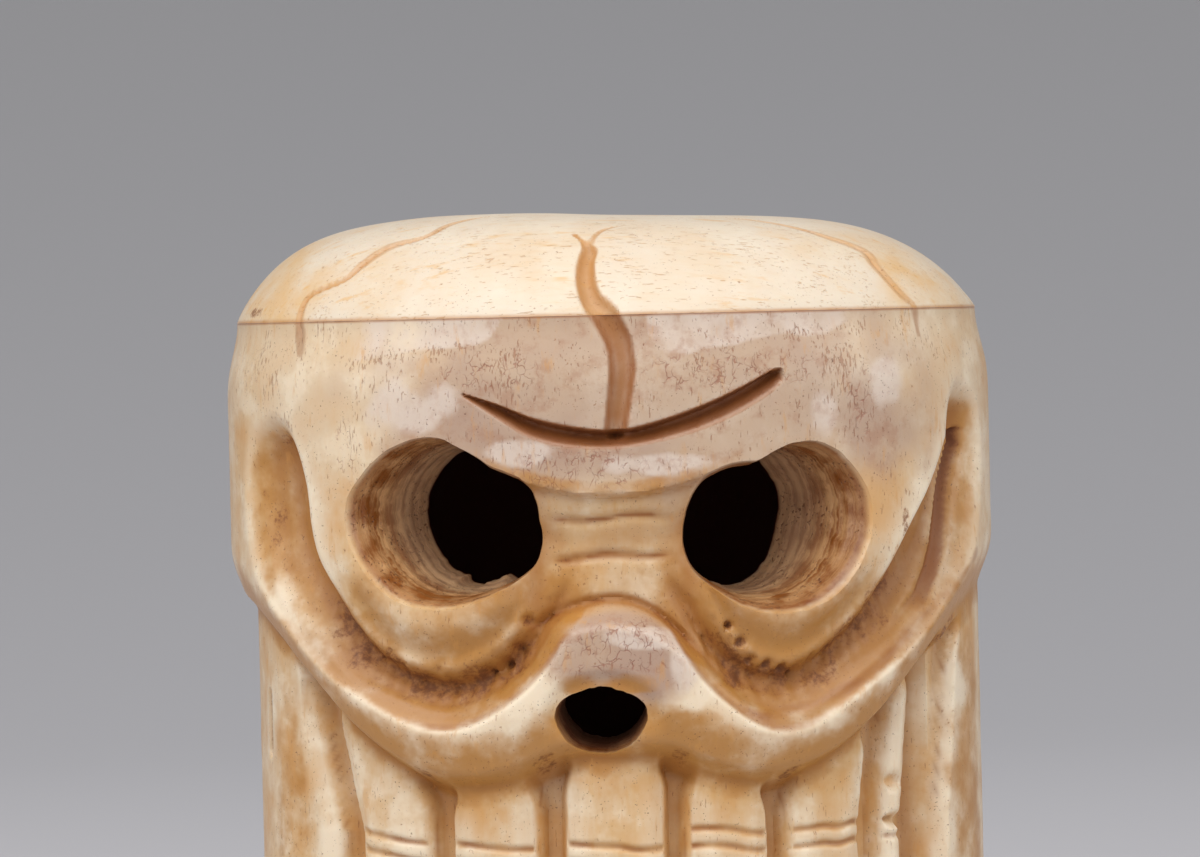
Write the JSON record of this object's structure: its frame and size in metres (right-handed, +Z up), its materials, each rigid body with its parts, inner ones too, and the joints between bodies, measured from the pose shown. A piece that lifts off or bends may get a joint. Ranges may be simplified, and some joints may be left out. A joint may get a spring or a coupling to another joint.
{
  "type": "carved skull ornament",
  "caption": "Small skull carved from a hollow section of bone, with pierced eye sockets and nose hole, and a low domed cap closing the top.",
  "frame": {"origin": "middle of the flat underside", "axes": "+Z up, +X to the right as the viewer faces the skull, the face looks towards -Y"},
  "size_m": [0.03, 0.025, 0.0323],
  "materials": {
    "carved_bone": "polished bone, honey patina in the carving, satin",
    "cap_bone": "polished cream bone, satin"
  },
  "bodies": {
    "root": {"skull_body": "carved_bone", "skull_cap": "cap_bone"}
  },
  "joints": []
}
